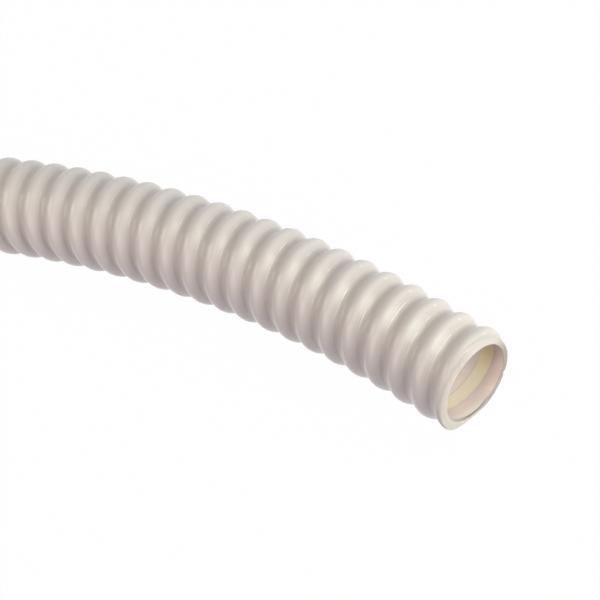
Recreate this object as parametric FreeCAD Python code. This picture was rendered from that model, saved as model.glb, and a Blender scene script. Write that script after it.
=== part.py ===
import FreeCAD, Part
import math
import os

from FreeCAD import Vector

# Drainage pipe with one rib wound round its wall as a right-handed screw and a smooth bore.
# One metre of it lies on its side in the gentle bend that a coil leaves in it.
# Millimetres. Z is up and the floor is at zero. The near cut is at the minus X end.

# Section of the pipe, from the bore out to the crest of the rib
BORE_DIAMETER = 100.0
WEB_THICKNESS = 6.5
RIB_HEIGHT = 7.0

# The outside rises and falls in an even wave, drawn with a flat on the crest
PITCH = 36.0
CREST_FLAT = 6.0

# Length along the middle of the bore, and the bend
LENGTH = 1000.0
BEND_RADIUS = 1850.0
STRAIGHT_END = 60.0

# Where the crest meets the near cut, in turns from the top towards the outside of the bend
CREST_START = -0.19

# Each turn of an edge of the wave is drawn as arcs.
# The winding runs past both cuts before it is trimmed.
ARCS_PER_TURN = 4
SPARE_TURNS = 1

# How far the trimming tube stands clear of the rib, as a share of the rib's radius
TRIM_CLEARANCE = 0.3
SEWING_TOLERANCE = 0.01

bore_radius = BORE_DIAMETER / 2
valley_radius = bore_radius + WEB_THICKNESS
crest_radius = valley_radius + RIB_HEIGHT
arc_length = LENGTH - 2 * STRAIGHT_END
bend_angle = arc_length / BEND_RADIUS

# Half the way from the outside of the bend to the far corner of an end, across the box
end_rise = BEND_RADIUS * (1 - math.cos(bend_angle / 2)) + STRAIGHT_END * math.sin(bend_angle / 2)
end_reach = end_rise + crest_radius * math.cos(bend_angle / 2)
box_middle = (end_reach - crest_radius) / 2


def middle_line(distance):
    """Point, heading and inward side of the pipe's middle line at a distance from the near cut."""
    from_middle = distance - LENGTH / 2
    along_arc = max(-arc_length / 2, min(arc_length / 2, from_middle))
    turned = along_arc / BEND_RADIUS
    heading = Vector(math.cos(turned), math.sin(turned), 0)
    inward = Vector(-math.sin(turned), math.cos(turned), 0)
    bend_centre = Vector(0, BEND_RADIUS - box_middle, crest_radius)
    point = bend_centre - inward * BEND_RADIUS
    return point + heading * (from_middle - along_arc), heading, inward


def winding_point(turn, shift, radius):
    """Point on an edge of the rib, which goes from the top over the outside of the bend."""
    centre, heading, inward = middle_line((turn - CREST_START) * PITCH + shift)
    angle = math.tau * turn
    spoke = Vector(0, 0, math.cos(angle)) - inward * math.sin(angle)
    return centre + spoke * radius


def winding_arc(turn, shift, radius):
    """Arc that carries one edge of the rib from a turn to the next stop round the pipe."""
    step = 1 / ARCS_PER_TURN
    start = winding_point(turn, shift, radius)
    middle = winding_point(turn + step / 2, shift, radius)
    end = winding_point(turn + step, shift, radius)
    return Part.Arc(start, middle, end).toShape()


def rib_edges():
    """Shift along the pipe and radius of each edge, from one crest over the valley to the next."""
    crest_end = CREST_FLAT / 2
    return [
        (-crest_end, crest_radius),
        (crest_end, crest_radius),
        (PITCH / 2, valley_radius),
        (PITCH - crest_end, crest_radius),
    ]


def outer_skin():
    """The ribbed outside as one sewn skin that runs past both cuts."""
    first = math.floor(CREST_START) - SPARE_TURNS
    last = math.ceil(CREST_START + LENGTH / PITCH) + SPARE_TURNS
    strips = []
    for stop in range((last - first) * ARCS_PER_TURN):
        turn = first + stop / ARCS_PER_TURN
        arcs = [winding_arc(turn, shift, radius) for shift, radius in rib_edges()]
        for lower, upper in zip(arcs, arcs[1:]):
            strips.append(Part.makeRuledSurface(lower, upper))
    skin = Part.makeCompound(strips)
    skin.sewShape(SEWING_TOLERANCE)
    return skin


def disc(distance, radius):
    """Round face square to the middle line."""
    centre, heading, inward = middle_line(distance)
    rim = Part.Wire(Part.makeCircle(radius, centre, heading))
    return Part.Face(rim)


def bent_rod(radius):
    """Solid rod along the whole middle line, with both ends square."""
    up = Vector(0, 0, 1)
    bend_centre = Vector(0, BEND_RADIUS - box_middle, crest_radius)
    near_heading = middle_line(0)[1]
    far_heading = middle_line(LENGTH)[1]
    near = disc(0, radius).extrude(near_heading * STRAIGHT_END)
    bend = disc(STRAIGHT_END, radius).revolve(bend_centre, up, math.degrees(bend_angle))
    far = disc(LENGTH - STRAIGHT_END, radius).extrude(far_heading * STRAIGHT_END)
    return near.multiFuse([bend, far])


def pipe():
    """The wall between the ribbed outside and the bore, cut square at both ends."""
    trimmer = bent_rod(crest_radius * (1 + TRIM_CLEARANCE))
    pieces, origins = trimmer.generalFuse([outer_skin()])
    inside = min(pieces.Solids, key=lambda piece: piece.BoundBox.DiagonalLength)
    return inside.cut(bent_rod(bore_radius))


if __name__ == "__main__":
    os.makedirs("parts", exist_ok=True)
    wall = pipe()
    wall.exportStep("parts/drainage_pipe.step")
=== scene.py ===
import math
from collections import namedtuple

import bmesh
import bpy
import numpy as np
from mathutils import Matrix, Vector


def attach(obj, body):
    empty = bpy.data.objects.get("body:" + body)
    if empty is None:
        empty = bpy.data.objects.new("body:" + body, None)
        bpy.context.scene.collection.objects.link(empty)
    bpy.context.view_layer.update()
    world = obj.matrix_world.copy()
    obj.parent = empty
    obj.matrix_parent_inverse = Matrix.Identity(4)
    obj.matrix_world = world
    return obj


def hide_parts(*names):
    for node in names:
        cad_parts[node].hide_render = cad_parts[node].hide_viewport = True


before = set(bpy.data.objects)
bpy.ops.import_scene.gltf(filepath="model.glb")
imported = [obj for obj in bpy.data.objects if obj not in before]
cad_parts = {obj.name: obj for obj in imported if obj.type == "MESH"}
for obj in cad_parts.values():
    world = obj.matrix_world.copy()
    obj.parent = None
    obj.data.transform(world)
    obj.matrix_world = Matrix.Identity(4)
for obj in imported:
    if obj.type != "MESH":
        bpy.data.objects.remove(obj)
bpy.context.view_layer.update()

# The pipe's own sizes in metres, as its solid has them
BORE_RADIUS = 0.0500
VALLEY_RADIUS = 0.0565
CREST_RADIUS = 0.0635
PITCH = 0.0360
LENGTH = 1.0
BEND_RADIUS = 1.850
STRAIGHT_END = 0.060

# Where the crest meets the near cut, in turns from the top towards the outside of the bend
CREST_START = -0.19

# The bend lies level with its outside towards minus Y, and the origin is on the floor in the middle of
# the pipe's box
ARC_LENGTH = LENGTH - 2 * STRAIGHT_END
BEND_ANGLE = ARC_LENGTH / BEND_RADIUS
END_RISE = BEND_RADIUS * (1 - math.cos(BEND_ANGLE / 2)) + STRAIGHT_END * math.sin(BEND_ANGLE / 2)
END_REACH = END_RISE + CREST_RADIUS * math.cos(BEND_ANGLE / 2)
BOX_MIDDLE = (END_REACH - CREST_RADIUS) / 2
BEND_CENTRE = np.array([0.0, BEND_RADIUS - BOX_MIDDLE, CREST_RADIUS])
UP = np.array([0.0, 0.0, 1.0])

# The outside is a wave, and its crest is a little fuller than its valley
RIB_HEIGHT = CREST_RADIUS - VALLEY_RADIUS
CREST_FULLNESS = 0.05

# The saw leaves each rim eased by a hair, and the near cut was then trimmed by hand.
# A hump round its rim has a place and a half width in turns, and a height in metres.
EASED_EDGE = 0.0006
TRIMMED_LENGTH = 0.012
OUTER_TRIM = ((0.37, 0.13, 0.0030), (0.60, 0.12, -0.0065), (0.406, 0.014, -0.0025))
INNER_TRIM = ((0.00, 0.30, -0.0045), (0.40, 0.17, 0.0020))
ROLLED_RIM = ((-0.06, 0.27, 0.0060),)

# The soft band of the bore lies under the rib, a little towards the far end, and stands a hair back.
# Its middle, half its width and half the step beside it are shares of a pitch.
SOFT_BAND_PHASE = 0.09
SOFT_BAND_HALF = 0.245
SOFT_BAND_STEP = 0.03
SOFT_BAND_DEPTH = 0.0005

# How finely the wall is drawn: squares round it, across a pitch outside and in the bore, and round a rim,
# then the rings across a cut as shares of the way to the bore
AROUND = 96
STEPS_ACROSS_RIB = 20
STEPS_ACROSS_BAND = 12
ROLLED_STEPS = 6
CUT_RINGS = (0.25, 0.5, 0.75)

# The winding starts some turns before the near cut, and has more turns than the length needs. Past a cut its
# points fall together, and points this near to each other are welded.
TURNS_BEFORE = 2.5
SPARE_TURNS = 4
WELD_DISTANCE = 2e-6

# Order of the finishes on the wall
OUTSIDE, BORE, CUT = range(3)

# One surface of the wall: grids of its distance, turn and radius, its faces, and the finish of each face
Surface = namedtuple("Surface", "distance turn radius faces finishes")


# Shape of the wall


def middle_line(distance):
    """Centre and inward side at a distance from the near cut.

    The line is an arc about the bend's centre, with a straight run at each end.
    """
    from_middle = distance - LENGTH / 2
    along_arc = np.clip(from_middle, -ARC_LENGTH / 2, ARC_LENGTH / 2)
    turned = along_arc / BEND_RADIUS
    level = np.zeros_like(turned)
    heading = np.stack([np.cos(turned), np.sin(turned), level], axis=-1)
    inward = np.stack([-np.sin(turned), np.cos(turned), level], axis=-1)
    past_arc = (from_middle - along_arc)[..., None]
    return BEND_CENTRE - inward * BEND_RADIUS + heading * past_arc, inward


def wall_point(distance, turn, radius):
    """The middle line's point plus the radius along the spoke at that share of a turn.

    Turns go from the top over the outside of the bend.
    """
    centre, inward = middle_line(distance)
    angle = math.tau * turn
    spoke = UP * np.cos(angle)[..., None] - inward * np.sin(angle)[..., None]
    return centre + spoke * radius[..., None]


def rib_phase(distance, turn):
    """Place across the rib, 0 on the crest and a half in the valleys.

    It is the pitches from the near cut plus the crest's start, less the turn and the nearest whole number.
    """
    phase = distance / PITCH + CREST_START - turn
    return phase - np.round(phase)


def round_the_rim(turn, humps):
    """Sum of the humps: each height times half of one plus the cosine, over its half width from its place."""
    total = np.zeros_like(turn)
    for place, half_width, height in humps:
        away = np.abs(turn - place - np.round(turn - place)) / half_width
        total = total + height * (0.5 + 0.5 * np.cos(math.pi * np.minimum(away, 1)))
    return total


def hand_trim(distance, turn, humps):
    """The humps at the near cut, times the square of what is left of the trimmed length."""
    left = 1 - np.clip(distance / TRIMMED_LENGTH, 0, 1)
    return round_the_rim(turn, humps) * left * left


def eased_edge(turn, at_far_end):
    """How far an outer rim is eased: a hair, and more where the near one is rolled over."""
    if at_far_end:
        return np.full_like(turn, EASED_EDGE)
    return EASED_EDGE + round_the_rim(turn, ROLLED_RIM)


def outside_radius(distance, turn):
    """The valley's radius plus the rib's height times a wave, and the hand's trim.

    The wave is half of one plus the cosine of the phase's angle. A little of one less the cosine of twice
    that angle fills its flanks.
    """
    angle = math.tau * rib_phase(distance, turn)
    wave = 0.5 + 0.5 * np.cos(angle) + CREST_FULLNESS * 0.5 * (1 - np.cos(2 * angle))
    return VALLEY_RADIUS + RIB_HEIGHT * wave + hand_trim(distance, turn, OUTER_TRIM)


def bore_radius(distance, turn):
    """The bore's radius plus the soft band's depth times a smooth step at that band's edges, and the trim."""
    beside = rib_phase(distance, turn) - SOFT_BAND_PHASE
    across = np.abs(beside - np.round(beside))
    step = np.clip((SOFT_BAND_HALF + SOFT_BAND_STEP - across) / (2 * SOFT_BAND_STEP), 0, 1)
    set_back = SOFT_BAND_DEPTH * step * step * (3 - 2 * step)
    return BORE_RADIUS + set_back + hand_trim(distance, turn, INNER_TRIM)


def winding_grid(steps, start, end):
    """Distance and turn of a grid that follows the winding, cut off at a start and an end.

    Each column is a share of a turn and each row a share of a pitch. The distance is both added up, less
    the crest's start, in pitches.
    """
    turns = math.ceil(LENGTH / PITCH) + SPARE_TURNS
    row = np.arange(turns * steps + 1) / steps - TURNS_BEFORE
    column = np.arange(AROUND) / AROUND
    distance = (row[:, None] + column[None, :] - CREST_START) * PITCH
    return np.clip(distance, start, end), np.broadcast_to(column, distance.shape)


def grid_faces(shape, climb=0):
    """Squares between neighbours of a grid that closes round the pipe.

    The last column meets the first one that many rows further on, which in a winding is a whole pitch.
    """
    rows, columns = shape
    row, column = np.meshgrid(np.arange(rows - 1), np.arange(columns), indexing="ij")
    closing = column == columns - 1
    next_column = np.where(closing, 0, column + 1)
    here = row * columns + column
    beside = np.minimum(row + closing * climb, rows - 1) * columns + next_column
    beside_on = np.minimum(row + 1 + closing * climb, rows - 1) * columns + next_column
    return np.stack([here, beside, beside_on, here + columns], axis=-1).reshape(-1, 4)


def cut_rings(at_far_end):
    """Distance, turn and radius of a cut's rings, from the outside to the bore.

    Each rim is a quarter circle: its depth is the ease times one less the sine, and its radius stands off by
    the ease times one less the cosine. Between the rims the cut is straight.
    """
    column = np.arange(AROUND) / AROUND
    edge = LENGTH if at_far_end else 0.0
    into_wall = -1 if at_far_end else 1
    outer_ease = eased_edge(column, at_far_end)
    inner_ease = np.full(AROUND, EASED_EDGE)
    outer = outside_radius(edge + into_wall * outer_ease, column)
    inner = bore_radius(edge + into_wall * inner_ease, column)
    quarter = math.pi / 2 * np.arange(ROLLED_STEPS + 1)[:, None] / ROLLED_STEPS
    back = quarter[::-2]
    share = np.array(CUT_RINGS)[:, None]
    depth = [
        outer_ease * (1 - np.sin(quarter)),
        np.zeros((len(share), AROUND)),
        inner_ease * (1 - np.sin(back)),
    ]
    radius = [
        outer - outer_ease * (1 - np.cos(quarter)),
        (outer - outer_ease) * (1 - share) + (inner + inner_ease) * share,
        inner + inner_ease * (1 - np.cos(back)),
    ]
    distance = edge + into_wall * np.concatenate(depth)
    return distance, np.broadcast_to(column, distance.shape), np.concatenate(radius)


def wall_surfaces():
    """The ribbed outside, the bore and both cuts, which together close the wall.

    The outside's finish goes on round the first half of each outer rim.
    """
    column = np.arange(AROUND) / AROUND
    start = eased_edge(column, at_far_end=False)
    end = LENGTH - eased_edge(column, at_far_end=True)
    distance, turn = winding_grid(STEPS_ACROSS_RIB, start, end)
    faces = grid_faces(distance.shape, STEPS_ACROSS_RIB)
    finishes = np.full(len(faces), OUTSIDE)
    surfaces = [Surface(distance, turn, outside_radius(distance, turn), faces, finishes)]
    distance, turn = winding_grid(STEPS_ACROSS_BAND, EASED_EDGE, LENGTH - EASED_EDGE)
    faces = grid_faces(distance.shape, STEPS_ACROSS_BAND)[:, ::-1]
    finishes = np.full(len(faces), BORE)
    surfaces.append(Surface(distance, turn, bore_radius(distance, turn), faces, finishes))
    for at_far_end in (False, True):
        distance, turn, radius = cut_rings(at_far_end)
        faces = grid_faces(distance.shape)
        first_half = ROLLED_STEPS // 2 * AROUND
        finishes = np.where(np.arange(len(faces)) < first_half, OUTSIDE, CUT)
        facing_out = faces if at_far_end else faces[:, ::-1]
        surfaces.append(Surface(distance, turn, radius, facing_out, finishes))
    return surfaces


def corner_map(surface):
    """Pitches from the near cut and turn at each corner of the faces, with no jump back where a turn ends."""
    pitches = surface.distance.reshape(-1)[surface.faces] / PITCH
    turn = surface.turn.reshape(-1)[surface.faces]
    past_the_top = turn.max(axis=1, keepdims=True) - turn > 0.5
    return np.stack([pitches, turn + past_the_top], axis=-1).reshape(-1, 2)


def pipe_mesh():
    """The wall as one closed and welded mesh, which keeps the corner map for its finishes."""
    surfaces = wall_surfaces()
    firsts = np.cumsum([0] + [surface.distance.size for surface in surfaces])
    points = [wall_point(each.distance, each.turn, each.radius).reshape(-1, 3) for each in surfaces]
    faces = [surface.faces + first for surface, first in zip(surfaces, firsts)]
    corners = [corner_map(surface) for surface in surfaces]
    finishes = [surface.finishes for surface in surfaces]
    mesh = bpy.data.meshes.new("drainage_pipe_wall")
    mesh.from_pydata(np.concatenate(points).tolist(), [], np.concatenate(faces).tolist())
    winding = mesh.uv_layers.new(name="winding")
    winding.data.foreach_set("uv", np.concatenate(corners).astype(np.float32).ravel())
    mesh.polygons.foreach_set("material_index", np.concatenate(finishes).astype(np.int32))
    mesh.polygons.foreach_set("use_smooth", np.ones(len(mesh.polygons), dtype=bool))
    welded = bmesh.new()
    welded.from_mesh(mesh)
    bmesh.ops.remove_doubles(welded, verts=welded.verts, dist=WELD_DISTANCE)
    welded.to_mesh(mesh)
    welded.free()
    mesh.update()
    return mesh


# Sockets and nodes


class Value:
    """A socket of a material, on which sums are written as plain maths."""

    def __init__(self, finish, socket):
        self.finish = finish
        self.socket = socket

    def __add__(self, other):
        return self.finish.maths("ADD", self, other)

    def __radd__(self, other):
        return self.finish.maths("ADD", other, self)

    def __sub__(self, other):
        return self.finish.maths("SUBTRACT", self, other)

    def __rsub__(self, other):
        return self.finish.maths("SUBTRACT", other, self)

    def __mul__(self, other):
        return self.finish.maths("MULTIPLY", self, other)

    def __rmul__(self, other):
        return self.finish.maths("MULTIPLY", other, self)

    def __abs__(self):
        return self.finish.maths("ABSOLUTE", self)

    def output(self, name):
        """Another output of the node that this value comes from."""
        return Value(self.finish, self.socket.node.outputs[name])

    def span(self, low, high):
        """From low where this value is 0 to high where it is 1."""
        return low + self * (high - low)

    def wrapped(self):
        """This value less its nearest whole number, from -0.5 to 0.5."""
        return self.finish.maths("FRACT", self + 0.5) - 0.5

    def step(self, start, end):
        """Smooth step from 0 at start to 1 at end."""
        settings = {"interpolation_type": "SMOOTHSTEP"}
        return self.finish.node("ShaderNodeMapRange", settings, {0: self, 1: start, 2: end})

    def fade(self, start, end):
        """Smooth step from 1 at start to 0 at end."""
        return 1 - self.step(start, end)

    def band(self, half_width, soft):
        """1 within a half width of zero, and 0 beyond a soft edge."""
        return abs(self).fade(half_width, half_width + soft)

    def near(self, place):
        """That band round a place on a circle of one, given as its middle, half width and soft edge."""
        middle, half_width, soft = place
        return (self - middle).wrapped().band(half_width, soft)


class Finish:
    """A material, or the studio's sky, made of nodes."""

    def __init__(self, owner):
        self.owner = owner
        owner.use_nodes = True
        self.tree = owner.node_tree
        self.tree.nodes.clear()

    def node(self, kind, settings=None, values=None, output=0):
        """A node of that type, its settings made first, then each socket given its value or its link."""
        made = self.tree.nodes.new(kind)
        for name, setting in (settings or {}).items():
            setattr(made, name, setting)
        for name, value in (values or {}).items():
            if isinstance(value, Value):
                self.tree.links.new(value.socket, made.inputs[name])
            else:
                made.inputs[name].default_value = value
        return Value(self, made.outputs[output])

    def maths(self, operation, *terms):
        """That operation on its terms."""
        return self.node("ShaderNodeMath", {"operation": operation}, dict(enumerate(terms)))

    def mix(self, share, first, second):
        """The first colour with that share of the second."""
        settings = {"data_type": "RGBA", "clamp_factor": True}
        return self.node("ShaderNodeMix", settings, {0: share, 6: first, 7: second}, output=2)

    def painted(self, base, *coats):
        """The base with coats laid over it in turn, each a share and a colour."""
        for share, colour in coats:
            base = self.mix(share, base, colour)
        return base

    def on_the_piece(self):
        """Place on the piece itself."""
        return self.node("ShaderNodeTexCoord", output="Object")

    def unrolled(self, winding, across, along, level=0.0):
        """Place on the winding laid flat and stretched by those factors, on that level of a noise."""
        flat = {0: winding.phase * across, 1: winding.along * along, 2: level}
        return self.node("ShaderNodeCombineXYZ", {}, flat)

    def noise(self, place, scale, detail=2.0, roughness=0.5):
        """Soft noise from 0 to 1."""
        values = {"Vector": place, "Scale": scale, "Detail": detail, "Roughness": roughness}
        return self.node("ShaderNodeTexNoise", {}, values)

    def bump(self, height, strength, distance):
        """Surface that the height lifts."""
        values = {"Height": height, "Strength": strength, "Distance": distance}
        return self.node("ShaderNodeBump", {}, values)

    def plastic(self, values):
        """The material, done as plastic with those values."""
        return self.done(self.node("ShaderNodeBsdfPrincipled", {}, {"IOR": PLASTIC_IOR, **values}))

    def done(self, shader, output="ShaderNodeOutputMaterial"):
        """The shader joined to the output."""
        last = self.tree.nodes.new(output)
        self.tree.links.new(shader.socket, last.inputs["Surface"])
        return self.owner


# Places on the wall

# Share of a pitch from the crest, turns along the winding, pitches from the near cut, and turn from the top
Winding = namedtuple("Winding", "phase along pitches turn")

# A mark has a place round the turn and maybe one across the rib, each as a middle, a half width and a soft
# edge. It may fade over a span of pitches from the near cut, and shows by a share.
Mark = namedtuple("Mark", "around across until share", defaults=(None, None, 1.0))


def winding_map(finish):
    """Winding read from the pipe's own map, with the phase that the shape has.

    The turns along are what wrapping the phase left out, plus the turn.
    """
    uv = finish.node("ShaderNodeUVMap", {"uv_map": "winding"})
    pitches = finish.node("ShaderNodeSeparateXYZ", {}, {0: uv})
    turn = pitches.output("Y")
    unwrapped = pitches + CREST_START - turn
    phase = unwrapped.wrapped()
    return Winding(phase, unwrapped - phase + turn, pitches, turn)


def shown(winding, mark):
    """How much of a mark shows: its bands round the turn and across the rib, its fade and its share."""
    amount = winding.turn.near(mark.around)
    if mark.across:
        amount = amount * winding.phase.near(mark.across)
    if mark.until:
        amount = amount * winding.pitches.fade(*mark.until)
    return amount * mark.share


# Finishes of the wall

PLASTIC_IOR = 1.5

# The near rim, painted darker than the outside as painted shade, with the stretch of it that is paler
SHADED_RIM_IVORY = (0.565, 0.493, 0.415, 1)
RIM_PALE = (0.67, 0.61, 0.52, 1)
PALE_STRETCH = Mark(around=(0.15, 0.05, 0.09))


def rim_shade_tone(finish, winding):
    """Painted shade along the near rim, paler along one stretch."""
    return finish.mix(shown(winding, PALE_STRETCH), SHADED_RIM_IVORY, RIM_PALE)


# The outside is painted palest a little beside the crest, towards the near cut, and darkest in the valley:
# painted light and painted shade
SHADED_VALLEY_IVORY = (0.65, 0.58, 0.50, 1)
LIT_CREST_IVORY = (0.80, 0.725, 0.63, 1)
LIGHT_PEAK_PHASE = 0.07

# Faint streaks run along the rib, and pale specks lie on it
STREAK_IVORY = (0.78, 0.70, 0.61, 1)
STREAK_EDGE = (0.42, 0.72)
STREAK_SHARE = 0.15
SPECK_WHITE = (0.86, 0.83, 0.77, 1)
SPECK_EDGE = (0.035, 0.07)
SPECK_SHARE = 0.6

# Painted shade lies beside the valley: more of it on the upper side inside the bend, mostly near the mouth,
# where it also lies further over, and less on the upper side outside the bend
VALLEY_SHADE = (0.50, 0.44, 0.38, 1)
VALLEY_SHADE_PLACE = (0.455, 0.03, 0.12)
VALLEY_SHADE_SHIFT = 0.07
VALLEY_SHADE_SHARE = 0.44
SHADED_SIDE_SPAN = (2.0, 7.0)
SHADED_SIDE_SHARES = (0.17, 0.06)
SHADED_SIDE = Mark(around=(-0.17, 0.08, 0.08))
LIT_SIDE = Mark(around=(0.18, 0.06, 0.08), share=0.20)

# The lapped edge of the wound strip, a fine ridge on the flank that faces the near cut, has a painted
# highlight line. It wanders a little and shows in patches, most where it catches the light, and beside it run
# a fine second painted highlight and painted shade in a crease.
HIGHLIGHT_WHITE = (0.96, 0.90, 0.83, 1)
LAP_PHASE = -0.35
LAP_WANDER = 0.012
LAP_EDGE = (0.0, 0.008, 0.024)
LAP_SHARE = 0.75
LAP_SPAN = (9.0, 19.0)
LAP_SHARES = (1.0, 0.35)
SECOND_LINE = (0.085, 0.004, 0.016)
SECOND_LINE_SHARE = 0.35
CREASE_SHADE = (0.42, 0.37, 0.34, 1)
CREASE = (-0.034, 0.003, 0.014)
CREASE_SHADE_SHARE = 0.45
HIGHLIT_STRETCH = Mark(around=(0.03, 0.04, 0.07))
HIGHLIT_SHARES = (0.25, 1.0)
PATCH_EDGE = (0.44, 0.56)
PATCH_SHARES = (0.12, 1.0)

# Painted shade darkens a flank near the mouth, the crests have painted glints and a painted reflection, and
# painted shade lies along the near rim and on its upper side nearby
SHADED_FLANK_IVORY = (0.60, 0.535, 0.46, 1)
SHADED_FLANK = Mark(around=(0.03, 0.09, 0.08), across=(-0.29, 0.05, 0.10), until=(3.0, 9.0), share=0.45)
GLINT = Mark(around=(0.146, 0.003, 0.008), across=(-0.17, 0.014, 0.030), until=(3.8, 6.5), share=0.7)
EDGE_SHEEN = Mark(around=(-0.18, 0.02, 0.04), across=(0.13, 0.03, 0.06), share=0.35)
RIM_TOP_SHADE = Mark(around=(0.18, 0.03, 0.12), until=(0.5, 1.3), share=0.25)
RIM_SHADE_SPAN = (0.0, 0.19)

# The gloss starts behind the near rim, and the valley is duller
GLOSS = 0.7
GLOSS_SPAN = (0.0, 0.24)
VALLEY_DULLS = 0.12

# Heights of the outside's relief, as shares of its bump
STREAK_HEIGHT = 0.25
CLOUD_HEIGHT = 0.35
GRAIN_HEIGHT = 0.012
SPECK_HEIGHT = 0.12
LAP_HEIGHT = 0.15


def ribbed_plastic():
    """Ivory plastic of the outside, laid on as one winding.

    The crest is paler than the valley by half of one plus the cosine of the phase's angle, which is painted
    light on the crest and painted shade in the valley. Over that lie painted shade on a flank, streaks,
    painted shade by the valley, specks, the strip's lapped edge with painted highlight lines and painted
    shade in its crease, painted glints and a painted reflection, and painted shade along the near rim.
    """
    finish = Finish(bpy.data.materials.new("ribbed_ivory_plastic"))
    winding = winding_map(finish)
    place = finish.on_the_piece()
    flat = finish.unrolled(winding, across=9.0, along=2.2)
    streaks = finish.noise(flat, scale=1.6, detail=3.0, roughness=0.55)
    line = finish.unrolled(winding, across=0.0, along=9.0, level=4.0)
    wander = finish.noise(line, scale=1.0, detail=3.0, roughness=0.6)
    cloud = finish.noise(place, scale=22.0)
    grain = finish.noise(place, scale=900.0, roughness=0.6)
    speck = finish.node("ShaderNodeTexVoronoi", {}, {"Vector": place, "Scale": 75.0}).fade(*SPECK_EDGE)

    # Painted light on the crest and painted shade in the valley
    lit_crest = 0.5 + 0.5 * finish.maths("COSINE", (winding.phase + LIGHT_PEAK_PHASE) * math.tau)
    # Painted shade beside the valley, more on one side and less on another
    shady_side = shown(winding, SHADED_SIDE)
    more_shade = shady_side * winding.pitches.step(*SHADED_SIDE_SPAN).span(*SHADED_SIDE_SHARES)
    shade_amount = VALLEY_SHADE_SHARE + more_shade - shown(winding, LIT_SIDE)
    valley = (winding.phase - shady_side * VALLEY_SHADE_SHIFT).near(VALLEY_SHADE_PLACE)

    # The lapped edge's painted highlight lines, and painted shade in the crease beside them
    from_lap = winding.phase - LAP_PHASE + (wander - 0.5) * LAP_WANDER
    lap, second_line, crease = [from_lap.near(line) for line in (LAP_EDGE, SECOND_LINE, CREASE)]
    highlit = shown(winding, HIGHLIT_STRETCH).span(*HIGHLIT_SHARES)
    fading = winding.pitches.step(*LAP_SPAN).span(*LAP_SHARES)
    patchy = wander.step(*PATCH_EDGE).span(*PATCH_SHARES) * highlit * fading
    lap_highlights = (lap + second_line * SECOND_LINE_SHARE) * patchy * LAP_SHARE

    colour = finish.painted(
        finish.mix(lit_crest, SHADED_VALLEY_IVORY, LIT_CREST_IVORY),
        # Painted shade on a flank near the mouth
        (shown(winding, SHADED_FLANK), SHADED_FLANK_IVORY),
        (streaks.step(*STREAK_EDGE) * STREAK_SHARE, STREAK_IVORY),
        (valley * shade_amount, VALLEY_SHADE),
        (speck * SPECK_SHARE, SPECK_WHITE),
        # Painted shade in the crease, then painted highlights on the lap, a painted reflection and painted
        # glints
        (crease * patchy * CREASE_SHADE_SHARE, CREASE_SHADE),
        (lap_highlights + shown(winding, EDGE_SHEEN) + shown(winding, GLINT), HIGHLIGHT_WHITE),
        # Painted shade along the near rim and on its upper side nearby
        (winding.pitches.fade(*RIM_SHADE_SPAN) + shown(winding, RIM_TOP_SHADE), rim_shade_tone(finish, winding)),
    )
    relief = streaks * STREAK_HEIGHT + cloud * CLOUD_HEIGHT + grain * GRAIN_HEIGHT
    raised_marks = speck * SPECK_HEIGHT + lap * patchy * LAP_HEIGHT
    values = {
        "Base Color": colour,
        "Roughness": streaks.span(low=0.34, high=0.44) + valley * VALLEY_DULLS,
        "Normal": finish.bump(relief + raised_marks, strength=0.6, distance=0.0009),
        "Coat Weight": winding.pitches.step(*GLOSS_SPAN) * GLOSS,
        "Coat Roughness": 0.2,
    }
    return finish.plastic(values)


# The stiff band of the bore, with how far its painted shade by the rim, its painted light on one side and its
# painted shade on another side reach from the rim
STIFF_PINK = (0.88, 0.79, 0.73, 1)
STIFF_WHITE = (0.91, 0.84, 0.78, 1)
STIFF_SHADE = (0.68, 0.57, 0.505, 1)
STIFF_LIT_CREAM = (0.76, 0.72, 0.64, 1)
STIFF_SHADE_PINK = (0.81, 0.66, 0.57, 1)
STIFF_SHADE_SPAN = (0.6, 1.7)
STIFF_SHADE_SHARE = 0.9
LIT_BORE_SIDE = Mark(around=(0.66, 0.08, 0.10), until=(0.08, 0.40))
SHADED_BORE_SIDE = Mark(around=(0.37, 0.08, 0.09), until=(0.08, 0.50))

# The soft band, which narrows at the rim and has a cloudy edge that is finer than its step, and is painted
# paler and more amber on one side as painted light
SOFT_YELLOW = (0.79, 0.72, 0.54, 1)
SOFT_STRAW = (0.82, 0.75, 0.58, 1)
SOFT_LIT_AMBER = (0.90, 0.73, 0.48, 1)
SOFT_RIM = (0.76, 0.73, 0.60, 1)
LIT_SOFT_SIDE = Mark(around=(0.26, 0.06, 0.16))
RIM_SPAN = (0.20, 0.28)
RIM_NARROWS = 0.08
BAND_WANDER = 0.02
BAND_EDGE = 0.02

# The dark seam between the bands, stronger at the rim, and a split along the lower rim
SEAM_BROWN = (0.36, 0.31, 0.23, 1)
SEAM_LINE = (0.008, 0.022)
SEAM_SHARES = (0.28, 0.78)
SPLIT = Mark(around=(0.62, 0.08, 0.06), until=(0.03, 0.09), share=0.75)
BORE_CLOUD_HEIGHT = 0.5


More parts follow.
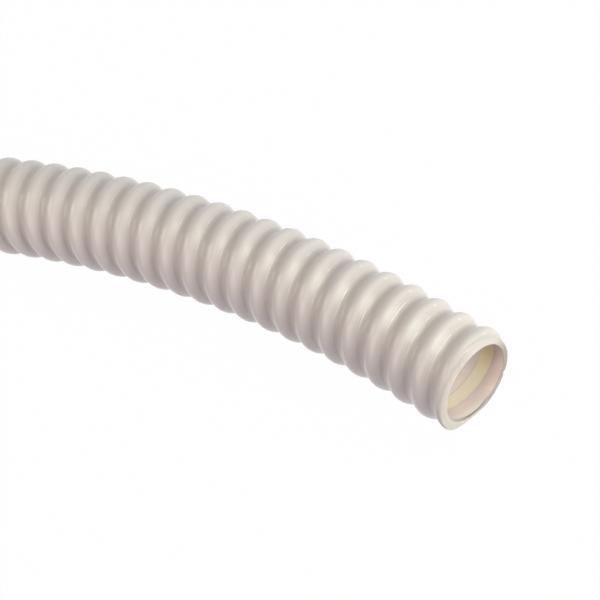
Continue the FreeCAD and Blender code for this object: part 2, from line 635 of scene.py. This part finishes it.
def banded_bore():
    """Smooth bore of two plastics wound side by side, with a dark seam between them.

    A yellowish soft band lies under the rib, and a stiff pinkish white one under the valley.
    """
    finish = Finish(bpy.data.materials.new("banded_bore_plastic"))
    winding = winding_map(finish)
    cloud = finish.noise(finish.on_the_piece(), scale=30.0)
    flat = finish.unrolled(winding, across=14.0, along=3.0)
    streaks = finish.noise(flat, scale=2.0, detail=3.0, roughness=0.55)

    by_rim = winding.pitches.fade(*RIM_SPAN)
    beside = (winding.phase - SOFT_BAND_PHASE).wrapped() + (cloud - 0.5) * BAND_WANDER
    across = abs(beside) + by_rim * RIM_NARROWS
    soft_band = across.fade(SOFT_BAND_HALF - BAND_EDGE, SOFT_BAND_HALF + BAND_EDGE)
    seam = (across - SOFT_BAND_HALF).band(*SEAM_LINE) * by_rim.span(*SEAM_SHARES)

    # Painted shade by the rim and on one side, and painted light on another side
    stiff = finish.painted(
        finish.mix(cloud, STIFF_PINK, STIFF_WHITE),
        (winding.pitches.fade(*STIFF_SHADE_SPAN) * STIFF_SHADE_SHARE, STIFF_SHADE),
        (shown(winding, LIT_BORE_SIDE), STIFF_LIT_CREAM),
        (shown(winding, SHADED_BORE_SIDE), STIFF_SHADE_PINK),
    )
    # Painted light on one side of the soft band
    soft = finish.painted(
        finish.mix(cloud, SOFT_YELLOW, SOFT_STRAW),
        (shown(winding, LIT_SOFT_SIDE), SOFT_LIT_AMBER),
        (by_rim, SOFT_RIM),
    )
    relief = streaks + cloud * BORE_CLOUD_HEIGHT
    values = {
        "Base Color": finish.painted(stiff, (soft_band, soft), (seam + shown(winding, SPLIT), SEAM_BROWN)),
        "Roughness": streaks.span(low=0.48, high=0.62),
        "Normal": finish.bump(relief, strength=0.3, distance=0.0006),
        "Specular IOR Level": 0.2,
    }
    return finish.plastic(values)


# The near cut has the rim's painted shade under a cloudy sawn tone, a painted shaded side, and a stretch of
# soft plastic with painted shade on the eased inner edge beside it
SAWN_IVORY = (0.62, 0.56, 0.47, 1)
SAWN_SHARE = 0.5
SAWN_SHADE = (0.36, 0.315, 0.27, 1)
SHADED = Mark(around=(0.42, 0.08, 0.16))
SOFT_BROWN = (0.40, 0.36, 0.31, 1)
SOFT_CREAM = (0.585, 0.55, 0.45, 1)
SOFT_TURNS = (0.55, 0.65)
SOFT_STRETCH = Mark(around=(0.65, 0.10, 0.06), share=0.9)
EDGE_SHADE_BROWN = (0.28, 0.26, 0.20, 1)
EDGE_SHADE = Mark(around=(0.64, 0.09, 0.06))
EDGE_SHADE_SPAN = (0.0, 0.006)

# The far cut's look takes over well between the cuts. It is fresh, and the rib's soft core shows in it.
FAR_SPAN = (10.0, 12.0)
FRESH_IVORY = (0.62, 0.555, 0.485, 1)
FRESH_PALE = (0.69, 0.625, 0.545, 1)
FRESH_SOFT = (0.66, 0.62, 0.49, 1)
SOFT_CORE = (SOFT_BAND_PHASE, SOFT_BAND_HALF - BAND_EDGE, 2 * BAND_EDGE)
SOFT_CORE_SHARE = 0.6


def sawn_edge():
    """Both cut faces: dull plastic with fine marks across the wall."""
    finish = Finish(bpy.data.materials.new("sawn_plastic_edge"))
    winding = winding_map(finish)
    place = finish.on_the_piece()
    cloud = finish.noise(place, scale=60.0, detail=3.0, roughness=0.6)
    stretched = finish.node("ShaderNodeMapping", {}, {"Vector": place, "Scale": (1.0, 1.0, 14.0)})
    marks = finish.noise(stretched, scale=160.0)

    # The rim's painted shade, a painted shaded side, and painted shade on the eased inner edge
    near_cut = finish.painted(
        rim_shade_tone(finish, winding),
        ((cloud - 0.5) * SAWN_SHARE, SAWN_IVORY),
        (shown(winding, SHADED), SAWN_SHADE),
        (shown(winding, SOFT_STRETCH), finish.mix(winding.turn.step(*SOFT_TURNS), SOFT_BROWN, SOFT_CREAM)),
        (shown(winding, EDGE_SHADE) * winding.pitches.step(*EDGE_SHADE_SPAN), EDGE_SHADE_BROWN),
    )
    far_cut = finish.painted(
        finish.mix(cloud, FRESH_IVORY, FRESH_PALE),
        (winding.phase.near(SOFT_CORE) * SOFT_CORE_SHARE, FRESH_SOFT),
    )
    values = {
        "Base Color": finish.mix(winding.pitches.step(*FAR_SPAN), near_cut, far_cut),
        "Roughness": marks.span(low=0.5, high=0.65),
        "Normal": finish.bump(marks + cloud, strength=0.4, distance=0.0004),
        "Specular IOR Level": 0.15,
    }
    return finish.plastic(values)


# The pipe

wall = bpy.data.objects.new("drainage_pipe_wall", pipe_mesh())
bpy.context.scene.collection.objects.link(wall)
for made in (ribbed_plastic(), banded_bore(), sawn_edge()):
    wall.data.materials.append(made)
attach(wall, "root")
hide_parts("drainage_pipe")


# The studio

# The photograph's camera, fitted to the pipe's outline: degrees that it is turned from the way that the
# near cut faces, leans and rolls, its distance from that cut in crest radii, and the cut's middle in pixels
CAMERA_TURN = 82.8412
CAMERA_LEAN = 58.0503
CAMERA_ROLL = -50.0
CAMERA_DISTANCE = 36.4362
NEAR_CUT_FACES = 180 - math.degrees(BEND_ANGLE / 2)
NEAR_CUT_PIXEL = (475.002, 382.4106)
FOCAL_PIXELS = 2024.5565
PICTURE_PIXELS = 600
SENSOR_MM = 36.0
CAMERA_CLIP = (0.05, 50.0)

# Distances from the near cut of the two points that the lamps face
MOUTH_DISTANCE = -0.01
BODY_DISTANCE = 0.25

WHITE = (1, 1, 1, 1)
FLOOR_GREY = (0.82, 0.82, 0.82, 1)
SKY_BLUE = (0.45, 0.52, 1.0, 1)
SKY_STRENGTH = 0.25
FLOOR_SEEN_WHITE = 0.99
FLOOR_SIZE = 12.0
FLOOR_DROP = 0.0005


def line_point(distance):
    """The middle line's point at a distance from the near cut."""
    return Vector(middle_line(np.array(distance))[0].tolist())


def photograph_camera():
    """Camera that sees the middle of the near cut at its pixel, leaning and rolled as the photograph is."""
    lean = math.radians(CAMERA_LEAN)
    roll = math.radians(CAMERA_ROLL)
    right = Vector((1, 0, 0))
    up = Vector((0, math.sin(lean), math.cos(lean)))
    back = Vector((0, -math.cos(lean), math.sin(lean)))
    across = right * math.cos(roll) + up * math.sin(roll)
    upward = up * math.cos(roll) - right * math.sin(roll)
    shift_x, shift_y = [
        (pixel - PICTURE_PIXELS / 2) / FOCAL_PIXELS * CAMERA_DISTANCE for pixel in NEAR_CUT_PIXEL
    ]
    from_cut = back * CAMERA_DISTANCE - across * shift_x + upward * shift_y
    turn = Matrix.Rotation(math.radians(NEAR_CUT_FACES + CAMERA_TURN), 3, "Z")
    columns = Matrix((turn @ across, turn @ upward, turn @ back)).transposed()
    lens = bpy.data.cameras.new("photograph_camera")
    lens.sensor_width = SENSOR_MM
    lens.lens = SENSOR_MM * FOCAL_PIXELS / PICTURE_PIXELS
    lens.clip_start, lens.clip_end = CAMERA_CLIP
    camera = bpy.data.objects.new("photograph_camera", lens)
    place = line_point(0.0) + turn @ from_cut * CREST_RADIUS
    camera.matrix_world = Matrix.Translation(place) @ columns.to_4x4()
    bpy.context.scene.collection.objects.link(camera)
    bpy.context.scene.camera = camera
    return camera


view = photograph_camera().matrix_world.to_3x3()
mouth = line_point(MOUTH_DISTANCE)
body = line_point(BODY_DISTANCE)


def lamp(name, target, place, width, power, colour, spread=180.0):
    """Soft square lamp that faces a target.

    Its place is from that target, in metres to the right, up and towards the camera in the picture.
    """
    light = bpy.data.lights.new(name, "AREA")
    light.shape = "SQUARE"
    light.size = width
    light.energy = power
    light.color = colour
    light.spread = math.radians(spread)
    away = view @ Vector(place)
    holder = bpy.data.objects.new(name, light)
    facing = (-away).to_track_quat("-Z", "Y").to_matrix().to_4x4()
    holder.matrix_world = Matrix.Translation(target + away) @ facing
    bpy.context.scene.collection.objects.link(holder)


def seen_share(finish, share):
    """That share where the camera looks, straight, in gloss or through glass, and 0 for all other light."""
    straight = finish.node("ShaderNodeLightPath", output="Is Camera Ray")
    glossy, through = straight.output("Is Glossy Ray"), straight.output("Is Transmission Ray")
    return finish.maths("MAXIMUM", straight, finish.maths("MAXIMUM", glossy, through)) * share


def floor_white():
    """Pale floor that shows nearly white, with a trace of the pipe's shadow."""
    finish = Finish(bpy.data.materials.new("studio_floor"))
    matt = finish.node("ShaderNodeBsdfDiffuse", {}, {"Color": FLOOR_GREY})
    white = finish.node("ShaderNodeEmission", {}, {"Color": WHITE, "Strength": 1.0})
    seen = seen_share(finish, FLOOR_SEEN_WHITE)
    return finish.done(finish.node("ShaderNodeMixShader", {}, {0: seen, 1: matt, 2: white}))


def studio_sky():
    """Dim bluish sky that shows white."""
    finish = Finish(bpy.data.worlds.new("studio"))
    dim = finish.node("ShaderNodeBackground", {}, {"Color": SKY_BLUE, "Strength": SKY_STRENGTH})
    white = finish.node("ShaderNodeBackground", {}, {"Color": WHITE, "Strength": 1.0})
    seen = seen_share(finish, 1.0)
    mixed = finish.node("ShaderNodeMixShader", {}, {0: seen, 1: dim, 2: white})
    return finish.done(mixed, "ShaderNodeOutputWorld")


lamp("key", body, (0.7, 0.75, 1.75), width=1.4, power=16.8, colour=(1.0, 0.99, 0.80))
lamp("upper_fill", body, (-0.1, 1.3, 1.5), width=1.2, power=1.0, colour=(0.75, 1.0, 0.5))
lamp("near_fill", body, (2.56, -0.16, 1.92), width=1.9, power=76.0, colour=(0.90, 0.95, 1.0))
lamp("far_fill", body, (-1.9, 0.6, 0.3), width=1.0, power=9.0, colour=(1.0, 0.98, 0.75))
lamp("low_fill", body, (-1.4, -0.6, 1.3), width=1.2, power=7.1, colour=(1.0, 0.70, 0.66))
lamp("mouth_fill", mouth, (0.374, -0.165, 0.69), width=0.05, power=0.02, colour=(1.0, 0.93, 0.86), spread=8.0)

bpy.ops.mesh.primitive_plane_add(size=FLOOR_SIZE, location=(0, 0, -FLOOR_DROP))
floor = bpy.context.object
floor.name = "studio_floor"
floor.data.materials.append(floor_white())

bpy.context.scene.world = studio_sky()

bpy.context.scene.view_settings.view_transform = "Standard"
